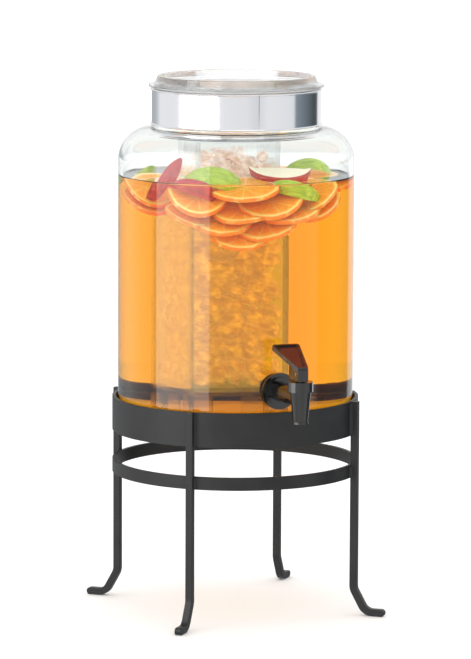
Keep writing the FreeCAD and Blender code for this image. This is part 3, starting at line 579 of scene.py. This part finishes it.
# Crushed ice: broken lumps of clear ice heaped in the chamber, from its floor to above the drink.
# Cracks and trapped air make each lump part clear and part white.
ICE_FLOOR = room_high.z
ICE_TOP = 0.412
ICE_HALF = CHAMBER_HALF - 0.004
rng = random.Random(7)
bm = bmesh.new()
across = 5
lump = 2 * ICE_HALF / across
layers = round((ICE_TOP - ICE_FLOOR) / (lump * 0.85))
edge = ICE_HALF - 0.0006
for layer in range(layers):
    for ix in range(across):
        for iy in range(across):
            heap = (1.0, 0.6, 0.25)[max(0, layer - layers + 3)]
            if rng.random() > heap:
                continue
            size = lump * rng.uniform(0.5, 0.85)
            stretch = Vector((rng.uniform(0.6, 1.1), rng.uniform(0.6, 1.1), rng.uniform(0.6, 1.1)))
            centre = Vector((-ICE_HALF + lump * (ix + rng.uniform(0.2, 0.8)),
                             -ICE_HALF + lump * (iy + rng.uniform(0.2, 0.8)),
                             ICE_FLOOR + lump * 0.85 * (layer + rng.uniform(0.2, 0.9))))
            made = []
            for _ in range(11):
                ray = Vector((rng.gauss(0, 1), rng.gauss(0, 1), rng.gauss(0, 1))).normalized() * size
                at = centre + Vector((ray.x * stretch.x, ray.y * stretch.y, ray.z * stretch.z))
                at = Vector((min(max(at.x, -edge), edge), min(max(at.y, -edge), edge),
                             max(at.z, ICE_FLOOR + 0.0006)))
                made.append(bm.verts.new(turn @ at))
            hull = bmesh.ops.convex_hull(bm, input=made)
            buried = [g for g in hull["geom_interior"] if isinstance(g, bmesh.types.BMVert)]
            bmesh.ops.delete(bm, geom=buried, context="VERTS")
bmesh.ops.recalc_face_normals(bm, faces=bm.faces)
clear_ice, t, shader = fresh("crushed_ice")
where = add(t, "ShaderNodeTexCoord").outputs["Object"]
crack = add(t, "ShaderNodeTexVoronoi", [("Vector", where), ("Scale", 260.0)], feature="DISTANCE_TO_EDGE")
air = add(t, "ShaderNodeTexNoise", [("Vector", where), ("Scale", 140.0), ("Detail", 4.0)])
white_part = add(t, "ShaderNodeMapRange",
                 [("Value", air.outputs["Fac"]), ("From Min", 0.4), ("From Max", 0.65), ("To Min", 0.3),
                  ("To Max", 0.08)])
t.links.new(white_part.outputs["Result"], shader.inputs["Transmission Weight"])
gloss = add(t, "ShaderNodeMapRange",
            [("Value", air.outputs["Fac"]), ("From Min", 0.35), ("From Max", 0.65), ("To Min", 0.04),
             ("To Max", 0.3)])
t.links.new(gloss.outputs["Result"], shader.inputs["Roughness"])
rough = add(t, "ShaderNodeBump",
            [("Height", crack.outputs["Distance"]), ("Strength", 0.35), ("Distance", 0.0012)])
t.links.new(rough.outputs["Normal"], shader.inputs["Normal"])
t.links.new(ramp(t, air.outputs["Fac"], [(0.38, paint("#d0b4a0")), (0.62, paint("#fff1e4"))]),
            shader.inputs["Base Color"])
shader.inputs["IOR"].default_value = 1.31
# Painted glow: a faint warm emission lights every lump evenly, standing in for light that reaches the ice
# through the drink from behind; ice itself gives off no light.
shader.inputs["Emission Color"].default_value = paint("#ffe3cc")
shader.inputs["Emission Strength"].default_value = 0.15
ice = settle(bm, "crushed_ice", clear_ice, smooth=False)
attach(ice, "ice_chamber")


# Stage: a plain pale floor, a white surround and two soft boxes that only reflections see.
bm = bmesh.new()
bmesh.ops.create_grid(bm, x_segments=8, y_segments=8, size=6.0)
floor_white, t, shader = fresh("pale_floor")
where = add(t, "ShaderNodeTexCoord").outputs["Object"]
tone = add(t, "ShaderNodeTexNoise", [("Vector", where), ("Scale", 3.0)])
t.links.new(ramp(t, tone.outputs["Fac"], [(0.3, paint("#fafafa")), (0.7, paint("#fcfcfc"))]),
            shader.inputs["Base Color"])
shader.inputs["Roughness"].default_value = 0.8
shader.inputs["Specular IOR Level"].default_value = 0.2
floor = settle(bm, "floor", floor_white)
floor.visible_glossy = False

# Surround: bright behind and above, dimmer ahead, with grey flags at the sides for the steel and glass.
world = bpy.data.worlds.new("studio")
bpy.context.scene.world = world
world.use_nodes = True
t = world.node_tree
t.nodes.clear()
look = add(t, "ShaderNodeTexCoord").outputs["Generated"]
ahead = add(t, "ShaderNodeVectorMath", [(0, look), (1, tuple(AHEAD))],
            operation="DOT_PRODUCT").outputs["Value"]
right = add(t, "ShaderNodeVectorMath", [(0, look), (1, tuple(RIGHT))],
            operation="DOT_PRODUCT").outputs["Value"]
field = add(t, "ShaderNodeMapRange",
            [("Value", ahead), ("From Min", -0.92), ("From Max", -0.2), ("To Min", 1.7), ("To Max", 0.6)],
            interpolation_type="SMOOTHSTEP").outputs["Result"]
up = add(t, "ShaderNodeSeparateXYZ", [("Vector", look)]).outputs["Z"]
sky = add(t, "ShaderNodeMapRange",
          [("Value", up), ("From Min", 0.2), ("From Max", 0.5), ("To Min", 0.0),
           ("To Max", 1.15)]).outputs["Result"]
field_up = add(t, "ShaderNodeMath", [(0, field), (1, sky)], operation="MAXIMUM").outputs["Value"]
bearing = add(t, "ShaderNodeMath", [(0, right), (1, ahead)], operation="ARCTAN2").outputs["Value"]
place = add(t, "ShaderNodeMapRange",
            [("Value", bearing), ("From Min", -math.pi), ("From Max", math.pi)]).outputs["Result"]
flags = ramp(t, place, [
    (0.0, paint("#ffffff")), (0.025, paint("#ffffff")), (0.035, paint("#aab1b6")), (0.11, paint("#c4c9cc")),
    (0.15, paint("#ffffff")), (0.29, paint("#ffffff")), (0.36, paint("#e4e4e8")), (0.42, paint("#ffffff")),
    (0.54, paint("#fafafa")), (0.58, paint("#e8eaec")), (0.62, paint("#ffffff")), (0.735, paint("#f4f6f8")),
    (0.745, paint("#8c979f")), (0.86, paint("#4e5659")), (0.89, paint("#585f62")), (0.905, paint("#ffffff")),
    (1.0, paint("#ffffff"))])
path = add(t, "ShaderNodeLightPath")
lit = add(t, "ShaderNodeMath", [(0, path.outputs["Diffuse Depth"]), (1, 0.5)],
          operation="GREATER_THAN").outputs["Value"]
even = add(t, "ShaderNodeMath", [(0, lit), (1, 1.3)], operation="MULTIPLY").outputs["Value"]
field_lit = add(t, "ShaderNodeMath", [(0, field_up), (1, even)], operation="MAXIMUM").outputs["Value"]
strength = add(t, "ShaderNodeMath", [(0, field_lit), (1, path.outputs["Is Camera Ray"])],
               operation="MAXIMUM").outputs["Value"]
grey = add(t, "ShaderNodeCombineColor",
           [("Red", strength), ("Green", strength), ("Blue", strength)]).outputs["Color"]
above = add(t, "ShaderNodeMapRange",
            [("Value", up), ("From Min", -0.02), ("From Max", 0.06)]).outputs["Result"]
dark = add(t, "ShaderNodeMix", [("Factor", above), ("A", flags), ("B", (1.0, 1.0, 1.0, 1.0))],
           data_type="RGBA")
seen = add(t, "ShaderNodeMix",
           [("Factor", path.outputs["Is Glossy Ray"]), ("A", grey), ("B", dark.outputs[2])], data_type="RGBA")
backdrop = add(t, "ShaderNodeBackground", [("Color", seen.outputs[2]), ("Strength", 1.0)])
add(t, "ShaderNodeOutputWorld", [("Surface", backdrop.outputs["Background"])])


def soft_box(name, azimuth, height, distance, size, aim, power):
    """Rectangular soft box seen only by reflections; azimuth is counted from the camera's side."""
    lamp = bpy.data.lights.new(name, "AREA")
    lamp.shape = "RECTANGLE"
    lamp.size, lamp.size_y = size
    lamp.energy = power
    a = math.radians(azimuth)
    flat = AHEAD * math.cos(a) - RIGHT * math.sin(a)
    made = bpy.data.objects.new(name, lamp)
    made.location = flat * distance + Vector((0, 0, height))
    made.rotation_euler = (made.location - Vector((0, 0, aim))).to_track_quat("Z", "Y").to_euler()
    made.visible_camera = False
    made.visible_diffuse = False
    made.visible_transmission = False
    bpy.context.scene.collection.objects.link(made)
    return made


soft_box("left_strip", 52, 0.77, 0.95, (1.0, 1.5), 0.77, 13)
soft_box("overhead", -20, 2.4, 1.2, (1.6, 1.6), 0.28, 6)

view = bpy.data.cameras.new("camera")
view.lens = 233.94
view.sensor_width = 36.0
view.clip_start = 0.1
view.clip_end = 50.0
camera = bpy.data.objects.new("camera", view)
spot = Matrix.Translation((-1.3260, -3.5465, 0.781))
aim = (Matrix.Rotation(math.radians(-20.5), 4, "Z") @ Matrix.Rotation(math.radians(90 - 7.975), 4, "X")
       @ Matrix.Rotation(math.radians(0.247), 4, "Z"))
camera.matrix_world = spot @ aim
bpy.context.scene.collection.objects.link(camera)
bpy.context.scene.camera = camera
bpy.context.scene.view_settings.view_transform = "Standard"
